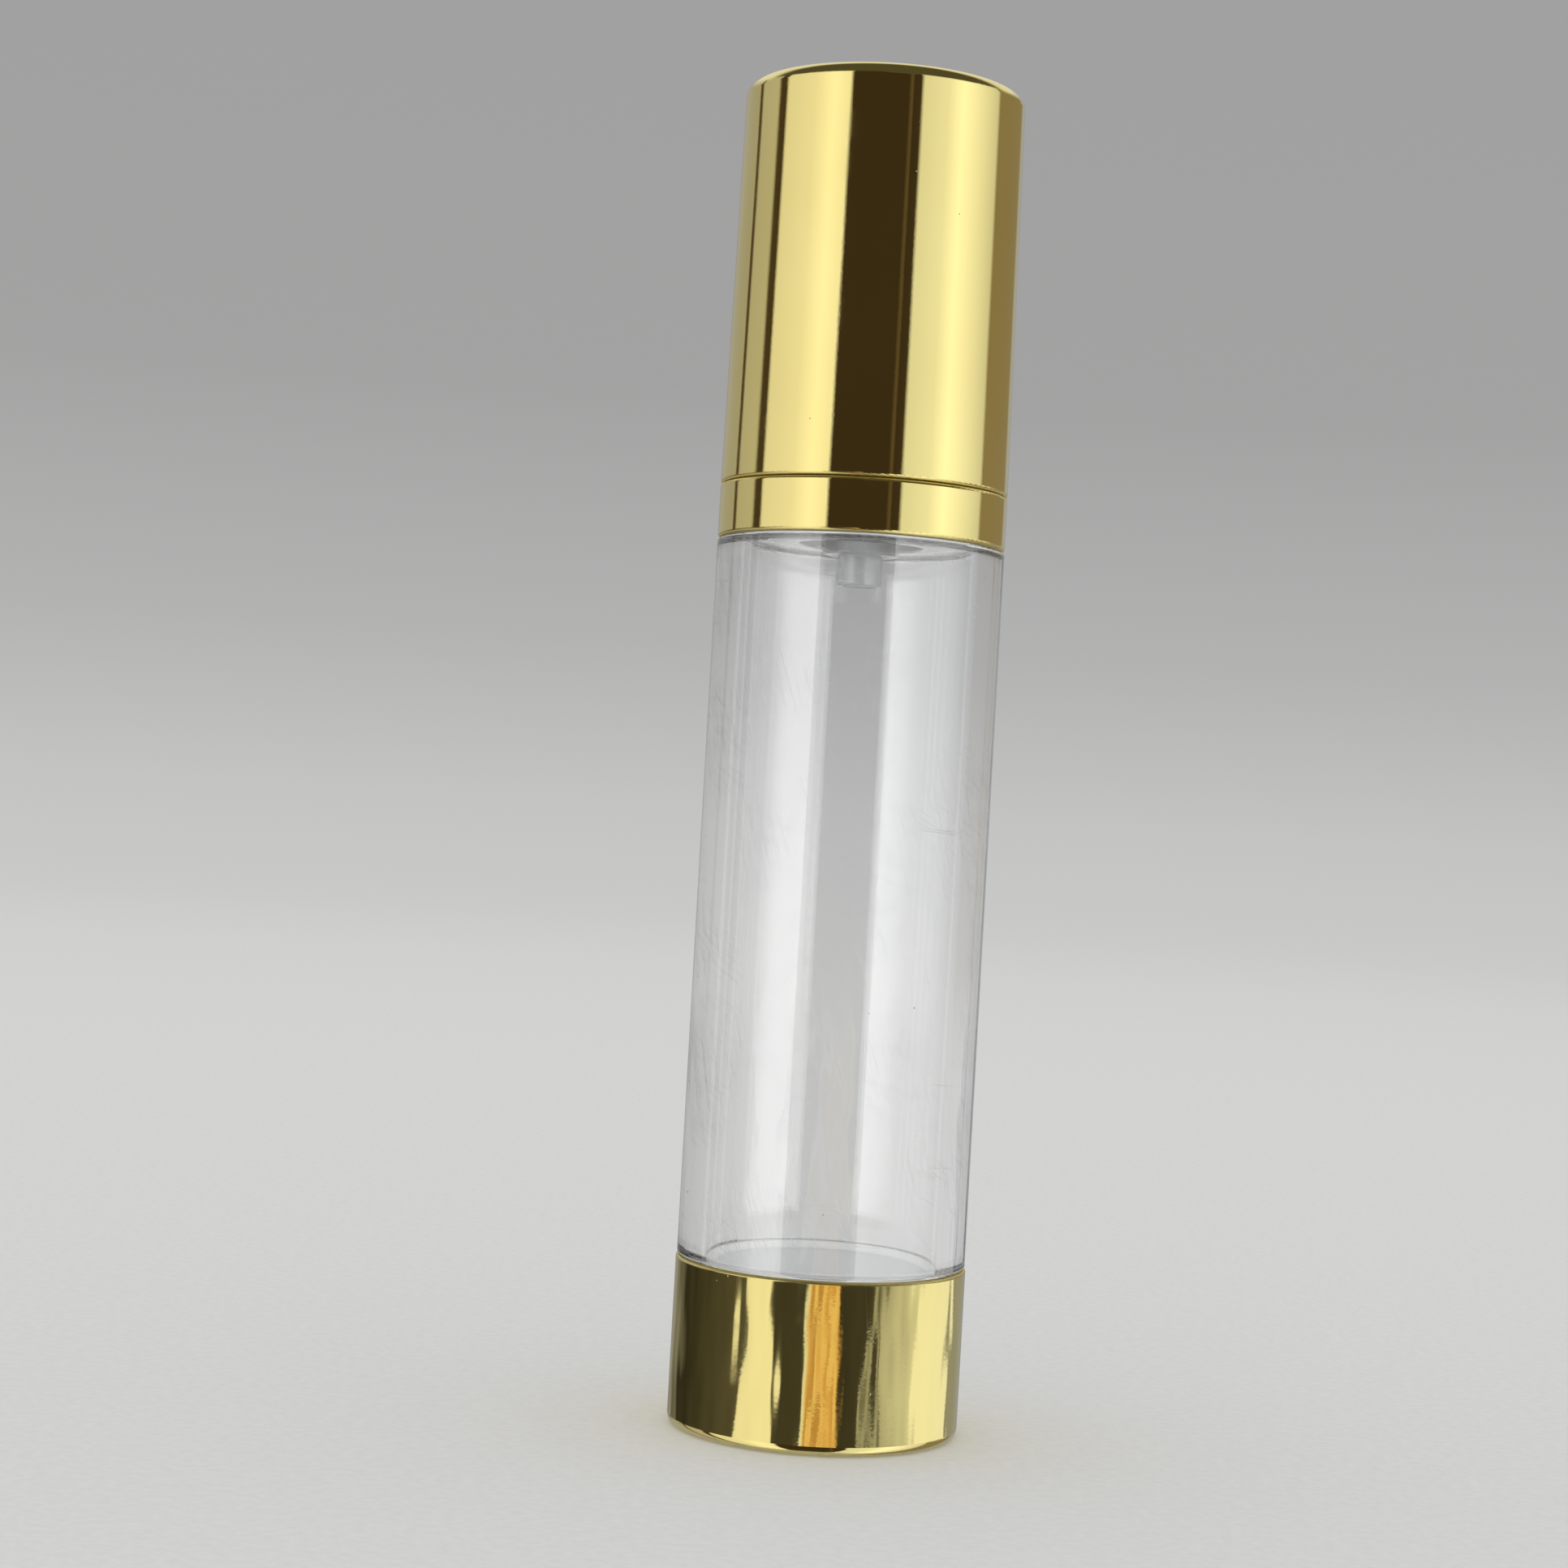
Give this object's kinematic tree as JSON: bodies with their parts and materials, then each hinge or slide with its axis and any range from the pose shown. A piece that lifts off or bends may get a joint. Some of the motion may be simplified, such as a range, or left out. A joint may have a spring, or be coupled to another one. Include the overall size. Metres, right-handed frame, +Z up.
{
  "type": "airless pump bottle",
  "caption": "Slim airless pump bottle: clear thick-walled barrel with a follower piston, mirror-gold base cup, collar and lift-off cap, and a spring pump inside.",
  "frame": {"origin": "centre of the foot, on the surface the bottle stands on", "axes": "+Z up the bottle's axis, -Y the side the nozzle points to"},
  "size_m": [0.0292, 0.0292, 0.1347],
  "materials": {
    "metallised_gold": "vacuum-metallised mirror gold on moulded ABS",
    "clear_san": "water-clear polished SAN",
    "milky_pe": "natural milky polyethylene",
    "natural_pp": "natural translucent polypropylene",
    "white_pp": "white moulded polypropylene",
    "gasket_foam": "soft sealing washer",
    "steel": "drawn stainless steel"
  },
  "bodies": {
    "bottle": {"base_cup": "metallised_gold", "bottle_body": "clear_san", "collar": "metallised_gold", "pump_closure": "white_pp", "neck_gasket": "gasket_foam", "pump_housing": "natural_pp", "housing_cap": "white_pp", "return_spring": "steel"},
    "cap": {"overcap": "metallised_gold", "overcap_liner": "white_pp"},
    "plunger": {"stem": "white_pp", "stem_core": "natural_pp"},
    "pump_head": {"actuator_core": "white_pp", "actuator_shell": "metallised_gold", "nozzle_insert": "white_pp"},
    "sliding_seal": {"piston_seal": "milky_pe"},
    "check_ball": {"inlet_ball": "steel"},
    "follower": {"follower_piston": "milky_pe"}
  },
  "joints": [
    {"name": "cap_lift", "type": "slide", "parent": "bottle", "child": "cap", "axis": [0, 0, 1], "range_m": [0, 0.045]},
    {"name": "pump_press", "type": "slide", "parent": "bottle", "child": "plunger", "axis": [0, 0, -1], "range_m": [0, 0.0045], "stiffness_N_per_m": 1500, "deforming": ["return_spring"]},
    {"name": "head_swivel", "type": "hinge", "parent": "plunger", "child": "pump_head", "pos_m": [0, 0, 0.1165], "axis": [0, 0, 1], "continuous": true},
    {"name": "seal_slide", "type": "slide", "parent": "bottle", "child": "sliding_seal", "axis": [0, 0, -1], "range_m": [0, 0.0039]},
    {"name": "ball_lift", "type": "slide", "parent": "bottle", "child": "check_ball", "axis": [0, 0, 1], "range_m": [0, 0.001]},
    {"name": "follower_slide", "type": "slide", "parent": "bottle", "child": "follower", "axis": [0, 0, 1], "range_m": [0, 0.0678]}
  ],
  "couplings": [
    {"joint": "seal_slide", "follows": "pump_press", "ratio": 0.86667}
  ]
}
